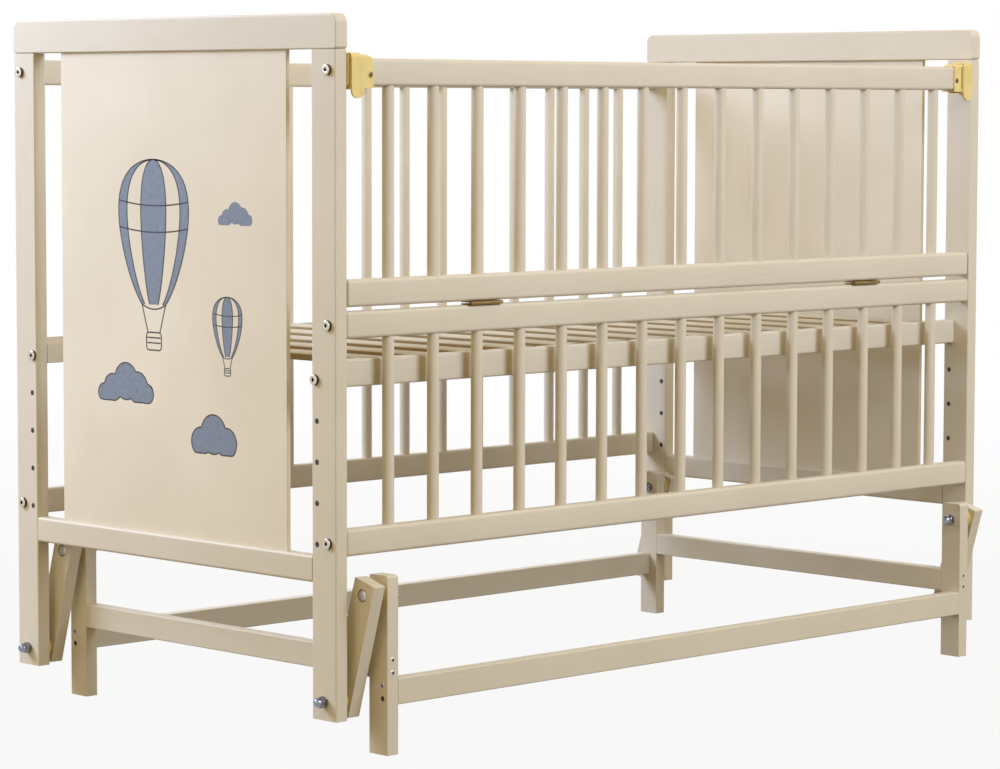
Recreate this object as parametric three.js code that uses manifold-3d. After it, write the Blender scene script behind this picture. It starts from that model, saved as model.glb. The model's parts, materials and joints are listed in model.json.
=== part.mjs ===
// Baby crib with a folding gate, hung on four links in a low swing base.
// Millimetres, +Z up. X runs along the crib with the headboard at -X, and the gate is on the -Y side.
// The origin is on the floor, under the middle of the whole object.

import * as THREE from "three";
import { mergeVertices } from "three/addons/utils/BufferGeometryUtils.js";
import Module from "manifold-3d";

const wasm = await Module();
wasm.setup();

// Mattress that the crib is made for
const mattressLength = 1200;
const mattressWidth = 600;
const mattressEndPlay = 5;
const mattressSidePlay = 2;

// Fits, and facet counts
const seat = 0.3; // clearance between pieces that touch
const overrun = 5; // how far a cutter runs past the face that it opens
const edgeSteps = 2; // facets of a rounded edge
const cornerSteps = 4; // facets of a rounded corner that is seen as a curve
const barSides = 10; // facets of a bar and of its socket
const roundSides = 12; // facets of a shank, bush or bore
const smallSides = 8; // facets of a plain small hole

// Posts and end frames
const postThick = 19;
const postWide = 44;
const postTall = 817;
const postEdge = 2;
const postPivotRise = 23; // lower pivot above the foot of the post
const boardTall = 43;
const boardOverhang = 1;
const boardTopCorner = 11.5;
const boardLowCorner = 4;
const boardEdge = 1.5;
const panelWide = 450;
const panelThick = 6;
const panelRecess = 5; // panel face behind the face of the posts
const grooveDeep = 8;
const endRailTall = 33.5;
const endRailBase = 167.6;
const endRailEdge = 4;

// Side rails and bars
const railThick = 19;
const railTall = 33.5;
const railEdge = 4;
const lowRailBase = 201.5;
const fixedRailTop = 500.6;
const gateRailDrop = 10.5; // top of the gate below the tops of the posts
const rearRailDrop = 8; // top of the rear side below the tops of the posts
const gateEndPlay = 2; // low rail of the gate to each post
const barDiameter = 15;
const barCount = 15;
const barTenon = 10; // length of bar inside the rail above it

// Mattress base and its heights
const bedRailThick = 18;
const bedRailTall = 34;
const bedRailTop = 440;
const bedRailInset = 6.5; // bed rail to the side rails beside it
const bedBoltRise = 11; // bolt above the underside of the bed rail
const slatCount = 13;
const slatWide = 55;
const slatThick = 9;
const slatEndGap = 50.5; // first and last slat to the posts
const slatBearing = 9; // length of slat that rests on each bed rail
const heightCount = 5;
const heightPitch = 50.4;
const heightHole = 7;

// Hinges of the gate
const hingeGap = 5; // between the fixed side and the gate
const hingeLong = 55;
const hingePlace = 372; // middle of each hinge from the middle of the crib
const hingeProud = 2; // axis in front of the rails
const leafThick = 1.5;
const leafDeep = 18;
const hingePinDiameter = 2;
const knuckleCount = 3;

// Latches of the gate
const keeperThick = 1;
const keeperEdge = 1.5; // how far the keeper stands out past the rail, front and back
const keeperTopRise = 6.7; // keeper above the top of the gate
const keeperCorner = 3;
const ribTall = 1.6;
const ribWide = 3;
const ribLong = 20;
const ribSetback = 1; // rib behind the front face of the rail
const sliderLong = 21.6;
const sliderFrontWall = 1.6;
const sliderBackWall = 2.1;
const sliderTopWall = 2.1;
const sliderEndWall = 4.5;
const sliderLip = 1.5; // lips that hold the slider under the housing
const sliderPlay = 0.4; // slider on the housing
const tongueWide = 20;
const tongueDrop = 12.8; // finger tongue below the housing
const tongueProud = 1.2; // finger tongue in front of the slider's front wall
const tongueTopDrop = 4.8; // top of the tongue below the top of the slider
const tongueCorner = 3;
const housingLong = 23.8;
const housingWall = 2;
const housingTopWall = 3.8;
const housingEndWall = 5.2;
const capCorner = 11; // top corner of housing and slider at the side of the rail
const capEdge = 4; // their front and back edges along the top
const springRoom = 9.8; // housing to the end wall of the slider
const springPocket = 4;
const springDiameter = 7;
const springWire = 0.9;
const springTurns = 5;
const turnSteps = 8;
const wireSides = 5;

// Swing base and links
const legThick = 18;
const legDeep = 33;
const legTall = 222;
const legCorner = 4;
const legPivotDrop = 23.5; // upper pivot below the top of the leg
const crossRailTall = 32;
const crossRailTop = 125.6;
const longRailThick = 18;
const longRailTall = 33;
const longRailTop = 94.4;
const baseRailEdge = 2;
const dowelHole = 6.5;
const dowelRise = 8.5; // dowel in the end of a long rail, above the underside of the rail
const linkThick = 18;
const linkWide = 36;
const linkReach = 137; // pivot to pivot
const linkEnd = 18; // wood past each pivot
const linkCorner = 1.5;
const restTilt = THREE.MathUtils.degToRad(16);
const boltDiameter = 8;
const boltHeadAcross = 13;
const boltHeadTall = 5.3;
const counterbore = 16;
const counterboreDeep = 6;
const nutAcross = 13;
const nutTall = 8;
const domeDiameter = 12;
const domeTall = 7;
const spacerRoom = 9; // stand-off on each side of a link
const flangeDiameter = 29;
const flangeTall = 4;
const hubDiameter = 18;

// Places that follow from the sizes, in the crib's own frame: z from the feet of the posts
const insideLength = mattressLength + 2 * mattressEndPlay;
const insideWidth = mattressWidth + 2 * mattressSidePlay;
const postInner = insideLength / 2;
const postOuter = postInner + postThick;
const cribWidth = insideWidth + 2 * railThick;
const postY = (cribWidth - postWide) / 2;
const sideY = (insideWidth + railThick) / 2;
const barPitch = insideLength / (barCount + 1);
const gateRailBase = fixedRailTop + hingeGap;
const gateRailTop = postTall - gateRailDrop;
const rearRailTop = postTall - rearRailDrop;
const slatPitch = (insideLength - 2 * slatEndGap - slatWide) / (slatCount - 1);
const bedRailY = (insideWidth - bedRailThick) / 2 - bedRailInset;
const bedBoltZ = bedRailTop - bedRailTall + bedBoltRise;
const hingeAxisZ = fixedRailTop + hingeGap / 2;
const knuckleRadius = hingeGap / 2 - seat;

// Places along X of the latch, for the right end of the gate
const keeperFace = postInner - seat - keeperThick;
const sliderFace = keeperFace - ribTall - seat;
const cavityEnd = sliderFace - sliderEndWall;
const housingFace = cavityEnd - springRoom;
const gateRailEnd = housingFace - housingEndWall - seat;

// Places along X of the swing, and heights from the floor
const linkX = postInner - spacerRoom - linkThick / 2;
const legX = linkX - (linkThick + legThick) / 2 - spacerRoom;
const legInner = legX - legThick / 2;
const legPivotZ = legTall - legPivotDrop;
const longRailOffset = (legDeep - longRailThick) / 2; // from the middle of the legs outwards
const swingShift = linkReach * Math.sin(restTilt);
const cribFoot = legPivotZ - linkReach * Math.cos(restTilt) - postPivotRise;

// Colours
const ivoryPaint = { color: 0xd9cdb4, roughness: 0.45, metalness: 0 };
const yellowPlastic = { color: 0xdec782, roughness: 0.4, metalness: 0 };
const brass = { color: 0xb08d4a, roughness: 0.35, metalness: 1 };
const bolts = { color: 0xc9c9c6, roughness: 0.25, metalness: 1 };

// Solids and meshes

const xAxis = new THREE.Vector3(1, 0, 0);
const yAxis = new THREE.Vector3(0, 1, 0);
const zAxis = new THREE.Vector3(0, 0, 1);
// Turns that lay a shape's depth along the named axis, with its outline in the other two
const layAlong = {
  x: new THREE.Matrix4().makeBasis(yAxis, zAxis, xAxis),
  y: new THREE.Matrix4().makeBasis(zAxis, xAxis, yAxis),
  z: new THREE.Matrix4(),
};

function toSolid(geometry) {
  const bare = geometry.clone();
  bare.deleteAttribute("normal");
  bare.deleteAttribute("uv");
  const merged = mergeVertices(bare);
  return new wasm.Manifold(
    new wasm.Mesh({
      numProp: 3,
      vertProperties: merged.attributes.position.array,
      triVerts: new Uint32Array(merged.index.array),
    }),
  );
}

function toGeometry(manifold) {
  const { vertProperties, triVerts } = manifold.getMesh();
  const indexed = new THREE.BufferGeometry();
  indexed.setAttribute("position", new THREE.BufferAttribute(vertProperties, 3));
  indexed.setIndex(new THREE.BufferAttribute(triVerts, 1));
  const geometry = indexed.toNonIndexed();
  geometry.computeVertexNormals();
  return geometry;
}

function join(first, ...others) {
  return toGeometry(others.reduce((all, one) => all.add(toSolid(one)), toSolid(first)));
}

function cut(body, ...tools) {
  return toGeometry(tools.reduce((rest, tool) => rest.subtract(toSolid(tool)), toSolid(body)));
}

function common(first, second) {
  return toGeometry(toSolid(first).intersect(toSolid(second)));
}

function mesh(name, geometry, finish) {
  const piece = new THREE.Mesh(geometry, new THREE.MeshStandardMaterial(finish));
  piece.name = name;
  return piece;
}

// Outline with each corner rounded; radii run round from the low left corner, or one number serves all
function rounded([left, right], [low, high], radii) {
  const [lowLeft, lowRight, highRight, highLeft] = Array.isArray(radii) ? radii : Array(4).fill(radii);
  const quarter = Math.PI / 2;
  const shape = new THREE.Shape();
  shape.moveTo(left + lowLeft, low);
  shape.lineTo(right - lowRight, low);
  if (lowRight) shape.absarc(right - lowRight, low + lowRight, lowRight, -quarter, 0);
  shape.lineTo(right, high - highRight);
  if (highRight) shape.absarc(right - highRight, high - highRight, highRight, 0, quarter);
  shape.lineTo(left + highLeft, high);
  if (highLeft) shape.absarc(left + highLeft, high - highLeft, highLeft, quarter, 2 * quarter);
  shape.lineTo(left, low + lowLeft);
  if (lowLeft) shape.absarc(left + lowLeft, low + lowLeft, lowLeft, 2 * quarter, 3 * quarter);
  return shape;
}

// Outline drawn out along an axis. Along x it is drawn in y, z; along y in z, x; along z in x, y.
function prism(axis, outline, from, to, curveSegments = edgeSteps) {
  const geometry = new THREE.ExtrudeGeometry(outline, {
    depth: to - from,
    bevelEnabled: false,
    curveSegments,
  });
  return geometry.translate(0, 0, from).applyMatrix4(layAlong[axis]);
}

function block([x0, x1], [y0, y1], [z0, z1]) {
  const box = new THREE.BoxGeometry(x1 - x0, y1 - y0, z1 - z0);
  return box.translate((x0 + x1) / 2, (y0 + y1) / 2, (z0 + z1) / 2);
}

function rod(axis, radius, from, to, sides = roundSides) {
  const cylinder = new THREE.CylinderGeometry(radius, radius, to - from, sides);
  cylinder.rotateX(Math.PI / 2).translate(0, 0, (from + to) / 2);
  return cylinder.applyMatrix4(layAlong[axis]);
}

// Cutter for a round hole, facets outside the circle so that a shaft of the same facets keeps its clearance
function bore(axis, radius, from, to, sides = roundSides) {
  return rod(axis, radius / Math.cos(Math.PI / sides), from, to, sides);
}

// Profile of [radius, place along the axis] points, turned about x
function turned(profile, sides) {
  const points = profile.map(([radius, along]) => new THREE.Vector2(radius, along));
  return new THREE.LatheGeometry(points, sides).rotateZ(-Math.PI / 2);
}

// End frames

function postGeometry(ySide) {
  const half = postThick / 2;
  const wood = rounded([-half, half], [-postWide / 2, postWide / 2], postEdge);
  const reach = half + overrun;
  const heights = Array.from({ length: heightCount }, (_, step) =>
    bore("x", heightHole / 2, -reach, reach, smallSides).translate(
      0,
      ySide * (bedRailY - postY),
      bedBoltZ - step * heightPitch,
    ),
  );
  const pivot = bore("x", boltDiameter / 2 + seat, -reach, reach).translate(0, 0, postPivotRise);
  return cut(prism("z", wood, 0, postTall), pivot, ...heights);
}

// Groove for the panel, in x from the inner side of the end frame and open towards the panel
function grooveCutter(low, high) {
  const face = postThick - panelRecess;
  const side = panelWide / 2 + seat;
  return block([face - panelThick - seat, face + seat], [-side, side], [low, high]);
}

function boardGeometry() {
  const side = cribWidth / 2 + boardOverhang - boardEdge;
  const heights = [boardEdge, boardTall - boardEdge];
  const lowCorner = boardLowCorner - boardEdge;
  const topCorner = boardTopCorner - boardEdge;
  const shape = rounded([-side, side], heights, [lowCorner, lowCorner, topCorner, topCorner]);
  const wood = new THREE.ExtrudeGeometry(shape, {
    depth: postThick - 2 * boardEdge,
    bevelThickness: boardEdge,
    bevelSize: boardEdge,
    bevelSegments: edgeSteps,
    curveSegments: cornerSteps,
  });
  wood.translate(0, 0, boardEdge).applyMatrix4(layAlong.x);
  return cut(wood, grooveCutter(-overrun, grooveDeep));
}

function endRailGeometry() {
  const side = cribWidth / 2 - postWide - seat;
  const section = rounded([0, endRailTall], [0, postThick], endRailEdge);
  const wood = prism("y", section, -side, side);
  return cut(wood, grooveCutter(endRailTall - grooveDeep, endRailTall + overrun));
}

function panelGeometry() {
  const face = postThick - panelRecess;
  const low = endRailBase + endRailTall - grooveDeep + seat;
  const high = postTall + seat + grooveDeep - seat;
  return block([face - panelThick, face], [-panelWide / 2, panelWide / 2], [low, high]);
}

// One end of the crib, drawn at the right; the left end is its half turn
function endFrame(name) {
  const frame = new THREE.Group();
  const board = mesh(name + "_top_board", boardGeometry(), ivoryPaint);
  board.position.set(postInner, 0, postTall + seat);
  const rail = mesh(name + "_bottom_rail", endRailGeometry(), ivoryPaint);
  rail.position.set(postInner, 0, endRailBase);
  const panel = mesh(name + "_panel", panelGeometry(), ivoryPaint);
  panel.position.set(postInner, 0, 0);
  frame.add(board, rail, panel);
  return frame;
}

function endPost(name, xSide, ySide) {
  const post = mesh(name, postGeometry(ySide), ivoryPaint);
  post.position.set(xSide * (postInner + postThick / 2), ySide * postY, 0);
  return post;
}

// Sides

const barPlaces = Array.from({ length: barCount }, (_, i) => (i - (barCount - 1) / 2) * barPitch);

function railGeometry(half) {
  return prism("x", rounded([-railThick / 2, railThick / 2], [0, railTall], railEdge), -half, half);
}

// Lower rail with its bars; the bars run up into the rail above, whose underside is so high over this one's
function combGeometry(half, upperRail) {
  const top = upperRail + barTenon;
  const bar = rod("z", barDiameter / 2, railTall / 2, top, barSides);
  const bars = barPlaces.map((x) => bar.clone().translate(x, 0, 0));
  return join(railGeometry(half), ...bars);
}

function topRailGeometry(half) {
  const socket = bore("z", barDiameter / 2 + seat, -overrun, barTenon + seat, barSides);
  const sockets = barPlaces.map((x) => socket.clone().translate(x, 0, 0));
  return cut(railGeometry(half), ...sockets);
}

function barredSide(name, ySide, lowBase, lowHalf, upperBase, upperHalf) {
  const comb = mesh(name + "_low_rail_and_bars", combGeometry(lowHalf, upperBase - lowBase), ivoryPaint);
  comb.position.set(0, ySide * sideY, lowBase);
  const rail = mesh(name + "_top_rail", topRailGeometry(upperHalf), ivoryPaint);
  rail.position.set(0, ySide * sideY, upperBase);
  return [comb, rail];
}

function sides() {
  const half = postInner - seat;
  return [
    ...barredSide("rear_side", 1, lowRailBase, half, rearRailTop - railTall, half),
    ...barredSide("front_side", -1, lowRailBase, half, fixedRailTop - railTall, half),
    ...barredSide("gate", -1, gateRailBase, postInner - gateEndPlay, gateRailTop - railTall, gateRailEnd),
  ];
}

// Mattress base

// Rail with a step for the slats along its inner top edge; the step faces the given side
function bedRailGeometry(inward) {
  const half = postInner - seat;
  const edge = inward * (bedRailThick / 2 - slatBearing);
  const past = inward * (bedRailThick / 2 + overrun);
  const step = block(
    [-half - overrun, half + overrun],
    [Math.min(edge, past), Math.max(edge, past)],
    [bedRailTall - slatThick, bedRailTall + overrun],
  );
  const section = rounded([-bedRailThick / 2, bedRailThick / 2], [0, bedRailTall], railEdge / 2);
  return cut(prism("x", section, -half, half), step);
}

function slatGeometry(x) {
  const start = bedRailThick / 2 - slatBearing;
  const end = 2 * bedRailY - start - seat;
  const low = bedRailTall - slatThick;
  return block([x - slatWide / 2, x + slatWide / 2], [start, end], [low, bedRailTall]);
}

function mattressBase() {
  const places = Array.from({ length: slatCount }, (_, i) => (i - (slatCount - 1) / 2) * slatPitch);
  const front = join(bedRailGeometry(1), ...places.map(slatGeometry));
  const frontRail = mesh("mattress_base_front_rail_and_slats", front, ivoryPaint);
  frontRail.position.set(0, -bedRailY, bedRailTop - bedRailTall);
  const rearRail = mesh("mattress_base_rear_rail", bedRailGeometry(-1), ivoryPaint);
  // The slats lie a seat's clearance above the step of the rear rail
  rearRail.position.set(0, bedRailY, bedRailTop - bedRailTall - seat);
  return [frontRail, rearRail];
}

// Hinges, drawn about their axis

const knuckleLong = hingeLong / knuckleCount;

// Ends of one knuckle along x, or of the clearance that its neighbours keep to it
function knuckleSpan(index, play) {
  const start = index * knuckleLong - hingeLong / 2;
  return [start + play, start + knuckleLong - play];
}

// Leaf with its own knuckles; the plate lies above the axis (1) or below it (-1)
function leafGeometry(level, ownKnuckle) {
  const inner = knuckleRadius - leafThick;
  const plateLevels = level > 0 ? [inner, knuckleRadius] : [-knuckleRadius, -inner];
  const indexes = [...Array(knuckleCount).keys()];
  const plate = block([-hingeLong / 2, hingeLong / 2], [0, leafDeep], plateLevels);
  const knuckles = indexes.filter(ownKnuckle).map((i) => rod("x", knuckleRadius, ...knuckleSpan(i, seat / 2)));
  const notch = knuckleRadius + seat;
  const notches = indexes
    .filter((i) => !ownKnuckle(i))
    .map((i) => block(knuckleSpan(i, -seat / 2), [-notch, notch], [-notch, notch]));
  const pinHole = bore("x", hingePinDiameter / 2 + seat, -hingeLong, hingeLong);
  return cut(join(plate, ...knuckles), pinHole, ...notches);
}

function hinge(name, x) {
  const group = new THREE.Group();
  const isOuter = (i) => i % 2 === 0;
  const isMiddle = (i) => !isOuter(i);
  group.add(
    mesh(name + "_lower_leaf", leafGeometry(-1, isOuter), brass),
    mesh(name + "_upper_leaf", leafGeometry(1, isMiddle), brass),
    mesh(name + "_pin", rod("x", hingePinDiameter / 2, -hingeLong / 2, hingeLong / 2), brass),
  );
  group.position.set(x, -cribWidth / 2 - hingeProud, hingeAxisZ);
  return group;
}

// Latches, drawn for the right end of the gate with y from the middle of the rail

const housingHalf = railThick / 2 + seat + housingWall;
const housingLow = gateRailTop - railTall - seat - housingWall;
const housingTop = gateRailTop + seat + housingTopWall;
const cavityHalf = housingHalf + sliderPlay;
const cavityTop = housingTop + sliderPlay;
const sliderTop = cavityTop + sliderTopWall;
const springZ = gateRailTop - railTall / 2;

function keeperGeometry() {
  const half = railThick / 2 + keeperEdge;
  const heights = [gateRailTop - railTall, gateRailTop + keeperTopRise];
  const plate = prism("x", rounded([-half, half], heights, keeperCorner), keeperFace, postInner - seat);
  const front = -railThick / 2 + ribSetback;
  const rib = block(
    [keeperFace - ribTall, keeperFace + keeperThick / 2],
    [front, front + ribWide],
    [springZ - ribLong / 2, springZ + ribLong / 2],
  );
  return join(plate, rib);
}

// Cap with a round top corner seen from the front and round top edges seen from its end
function capGeometry([rear, face], [front, back], [low, high]) {
  const frontView = rounded([low, high], [rear, face], [0, capCorner, 0, 0]);
  const endView = rounded([front, back], [low, high], [0, 0, capEdge, capEdge]);
  return common(prism("y", frontView, front, back, cornerSteps), prism("x", endView, rear, face, cornerSteps));
}

// Cap over the end of the gate's top rail, with a pocket for the spring in its end wall
function housingGeometry() {
  const rear = housingFace - housingLong;
  const cap = capGeometry([rear, housingFace], [-housingHalf, housingHalf], [housingLow, housingTop]);
  const rail = block(
    [rear - overrun, gateRailEnd + seat],
    [-railThick / 2 - seat, railThick / 2 + seat],
    [gateRailTop - railTall - seat, gateRailTop + seat],
  );
  const pocket = bore("x", springDiameter / 2 + seat, housingFace - springPocket, housingFace + overrun);
  return cut(cap, rail, pocket.translate(0, 0, springZ));
}

// Finger tongue: a plate on the front wall that runs down past the housing to a round end
function tongueGeometry() {
  const heights = [housingLow - tongueDrop, sliderTop - tongueTopDrop];
  const along = [sliderFace - tongueWide, sliderFace];
  const shape = rounded(heights, along, [tongueWide / 2, tongueCorner, tongueCorner, tongueWide / 2]);
  return prism("y", shape, -cavityHalf - sliderFrontWall - tongueProud, -cavityHalf, cornerSteps);
}

// Shell that slides over the housing and drops over the keeper's rib
function sliderGeometry() {
  const rear = sliderFace - sliderLong;
  const lipTop = housingLow - seat;
  const low = lipTop - sliderLip;
  const across = [-cavityHalf - sliderFrontWall, cavityHalf + sliderBackWall];
  const shell = capGeometry([rear, sliderFace], across, [low, sliderTop]);
  const along = [rear - overrun, cavityEnd];
  const cavity = block(along, [-cavityHalf, cavityHalf], [lipTop, cavityTop]);
  const slotHalf = cavityHalf - sliderLip;
  const slot = block(along, [-slotHalf, slotHalf], [low - overrun, cavityTop]);
  const front = -railThick / 2 + ribSetback - seat;
  const groove = block(
    [sliderFace - ribTall - seat, sliderFace + overrun],
    [front, front + ribWide + 2 * seat],
    [springZ - ribLong / 2 - seat, springZ + ribLong / 2 + seat],
  );
  return cut(join(shell, tongueGeometry()), cavity, slot, groove);
}

class Helix extends THREE.Curve {
  constructor(radius, start, end, turns) {
    super();
    Object.assign(this, { radius, start, end, turns });
  }
  getPoint(t, target = new THREE.Vector3()) {
    const angle = 2 * Math.PI * this.turns * t;
    const x = this.start + (this.end - this.start) * t;
    return target.set(x, this.radius * Math.cos(angle), this.radius * Math.sin(angle));
  }
}

function springGeometry() {
  const wire = springWire / 2;
  const start = housingFace - springPocket + seat + wire;
  const coil = new Helix(springDiameter / 2 - wire, start, cavityEnd - seat - wire, springTurns);
  const section = new THREE.Shape(
    Array.from({ length: wireSides }, (_, i) => {
      const angle = (2 * Math.PI * i) / wireSides;
      return new THREE.Vector2(wire * Math.cos(angle), wire * Math.sin(angle));
    }),
  );
  const steps = springTurns * turnSteps;
  const spring = new THREE.ExtrudeGeometry(section, { steps, extrudePath: coil, bevelEnabled: false });
  return spring.translate(0, 0, springZ);
}

function latch(name, xSide) {
  const group = new THREE.Group();
  group.add(
    mesh(name + "_keeper", keeperGeometry(), yellowPlastic),
    mesh(name + "_housing", housingGeometry(), yellowPlastic),
    mesh(name + "_slider", sliderGeometry(), yellowPlastic),
    mesh(name + "_spring", springGeometry(), bolts),
  );
  group.position.set(0, -sideY, 0);
  group.scale.x = xSide;
  return group;
}

// Swing base

// Leg with its pivot hole, and a hole through to the dowel in the end of the long rail at its outer side
function legGeometry(ySide) {
  const outline = rounded([-legDeep / 2, legDeep / 2], [0, legTall], [0, 0, legCorner, legCorner]);
  const wood = prism("x", outline, -legThick / 2, legThick / 2);
  const reach = legThick / 2 + overrun;
  const pivot = bore("x", boltDiameter / 2 + seat, -reach, reach).translate(0, 0, legPivotZ);
  const dowel = bore("x", dowelHole / 2, -reach, reach, smallSides);
  dowel.translate(0, ySide * longRailOffset, longRailTop - longRailTall + dowelRise);
  return cut(wood, pivot, dowel);
}

function crossRailGeometry() {
  const half = postY - legDeep / 2 - seat;
  const section = rounded([0, crossRailTall], [-legThick / 2, legThick / 2], baseRailEdge);
  return prism("y", section, -half, half);
}

function longRailGeometry() {
  const half = legInner - seat;
  const section = rounded([-longRailThick / 2, longRailThick / 2], [0, longRailTall], baseRailEdge);
  return prism("x", section, -half, half);
}

// Link drawn hanging from its upper pivot. Each end has a bore and, for the bolt's head, a recess:
// the upper one opens at +x, the lower one at -x.
function linkGeometry() {
  const outline = rounded([-linkWide / 2, linkWide / 2], [-linkReach - linkEnd, linkEnd], linkCorner);
  const half = linkThick / 2;
  const reach = half + overrun;
  const floor = half - counterboreDeep;
  const upperBore = bore("x", boltDiameter / 2 + seat, -reach, reach);
  const lowerBore = upperBore.clone().translate(0, 0, -linkReach);
  const upperRecess = bore("x", counterbore / 2, floor, reach, roundSides);
  const lowerRecess = bore("x", counterbore / 2, -reach, -floor, roundSides).translate(0, 0, -linkReach);
  return cut(prism("x", outline, -half, half), upperBore, lowerBore, upperRecess, lowerRecess);
}

// Bolt with its dome nut, head at the origin and shank along +x through what it grips
function boltGeometry(grip) {
  const hexagon = 6;
  const corner = 1 / Math.cos(Math.PI / hexagon);
  const head = rod("x", (boltHeadAcross / 2) * corner, -boltHeadTall, 0, hexagon);
  const shank = rod("x", boltDiameter / 2, -boltHeadTall / 2, grip + nutTall / 2);
  const nut = rod("x", (nutAcross / 2) * corner, grip, grip + nutTall, hexagon);
  const quarter = Array.from({ length: cornerSteps }, (_, i) => {
    const angle = (i / cornerSteps) * (Math.PI / 2);
    return [(domeDiameter / 2) * Math.cos(angle), grip + nutTall + domeTall * Math.sin(angle)];
  });
  const dome = turned(
    [[0, grip + nutTall / 2], [domeDiameter / 2, grip + nutTall / 2], ...quarter, [0, grip + nutTall + domeTall]],
    roundSides,
  );
  return join(head, shank, nut, dome);
}

// Stepped bush, its wide flange at the origin against the link and its hub along +x
function spacerGeometry() {
  const inner = (boltDiameter / 2 + seat) / Math.cos(Math.PI / roundSides);
  const long = spacerRoom - 2 * seat;
  const profile = [
    [inner, 0],
    [flangeDiameter / 2, 0],
    [flangeDiameter / 2, flangeTall],
    [hubDiameter / 2, flangeTall],
    [hubDiameter / 2, long],
    [inner, long],
    [inner, 0],
  ];
  return turned(profile, roundSides);
}

// Piece drawn along +x, turned to point along -x where wanted
function pointed(piece, direction, x, y, z) {
  piece.rotation.z = direction > 0 ? 0 : Math.PI;
  piece.position.set(x, y, z);
  return piece;
}

// One corner of the swing: leg, link, and a bolt and spacer at each pivot
function swingCorner(name, xSide, ySide) {
  const corner = new THREE.Group();
  const legY = ySide * postY - swingShift;
  const postPivotY = ySide * postY;
  const postPivotZ = cribFoot + postPivotRise;
  const head = linkThick / 2 - counterboreDeep + seat;

  const leg = mesh(name + "_leg", legGeometry(ySide), ivoryPaint);
  leg.position.set(xSide * legX, legY, 0);

  const link = mesh(name + "_link", linkGeometry(), ivoryPaint);
  link.scale.x = xSide;
  link.rotation.x = restTilt;
  link.position.set(xSide * linkX, legY, legPivotZ);

  const upperGrip = linkX + head - legInner + seat;
  const upperBolt = mesh(name + "_upper_bolt", boltGeometry(upperGrip), bolts);
  pointed(upperBolt, -xSide, xSide * (linkX + head), legY, legPivotZ);

  const lowerGrip = postOuter - (linkX - head) + seat;
  const lowerBolt = mesh(name + "_lower_bolt", boltGeometry(lowerGrip), bolts);
  pointed(lowerBolt, xSide, xSide * (linkX - head), postPivotY, postPivotZ);

  const face = linkThick / 2 + seat;
  const upperSpacer = mesh(name + "_upper_spacer", spacerGeometry(), yellowPlastic);
  pointed(upperSpacer, -xSide, xSide * (linkX - face), legY, legPivotZ);
  const lowerSpacer = mesh(name + "_lower_spacer", spacerGeometry(), yellowPlastic);
  pointed(lowerSpacer, xSide, xSide * (linkX + face), postPivotY, postPivotZ);

  corner.add(leg, link, upperBolt, lowerBolt, upperSpacer, lowerSpacer);
  return corner;
}

function baseRails() {
  const rails = new THREE.Group();
  for (const [name, xSide] of [["left", -1], ["right", 1]]) {
    const rail = mesh(name + "_cross_rail", crossRailGeometry(), ivoryPaint);
    rail.position.set(xSide * legX, 0, crossRailTop - crossRailTall);
    rails.add(rail);
  }
  for (const [name, ySide] of [["front", -1], ["rear", 1]]) {
    const rail = mesh(name + "_long_rail", longRailGeometry(), ivoryPaint);
    rail.position.set(0, ySide * (postY + longRailOffset), longRailTop - longRailTall);
    rails.add(rail);
  }
  rails.position.y = -swingShift;
  return rails;
}

// Whole object

function upperCrib() {
  const headboard = endFrame("headboard");
  headboard.rotation.z = Math.PI;
  const group = new THREE.Group();
  group.add(
    headboard,
    endPost("headboard_front_post", -1, -1),
    endPost("headboard_rear_post", -1, 1),
    endFrame("footboard"),
    endPost("footboard_front_post", 1, -1),
    endPost("footboard_rear_post", 1, 1),
    ...sides(),
    ...mattressBase(),
    hinge("left_hinge", -hingePlace),
    hinge("right_hinge", hingePlace),
    latch("left_latch", -1),
    latch("right_latch", 1),
  );
  group.position.z = cribFoot;
  return group;
}

const whole = new THREE.Group();
whole.add(
  upperCrib(),
  swingCorner("front_left", -1, -1),
  swingCorner("front_right", 1, -1),
  swingCorner("rear_left", -1, 1),
  swingCorner("rear_right", 1, 1),
  baseRails(),
);

// The links lean, so the base stands forward of the crib: the whole is centred front to back
const middle = new THREE.Box3().setFromObject(whole, true).getCenter(new THREE.Vector3());
whole.position.y = -middle.y;

const crib = new THREE.Group();
crib.name = "crib";
crib.add(whole);

export default crib;
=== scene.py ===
# %% [markdown]
# # A crib on a swinging base
#
# This lesson dresses a finished construction model of a wooden baby crib. The construction holds every
# piece at its real size and place, and it is never moved here. What the lesson adds is the look: round
# bars, soft edges, paint, plastic and metal, small fasteners, wound springs, and a printed picture on
# the headboard. It ends with plain studio light and a camera.
#
# The first cell clears the starting scene and loads the construction.

# %% Load the construction
import json
import math

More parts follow.
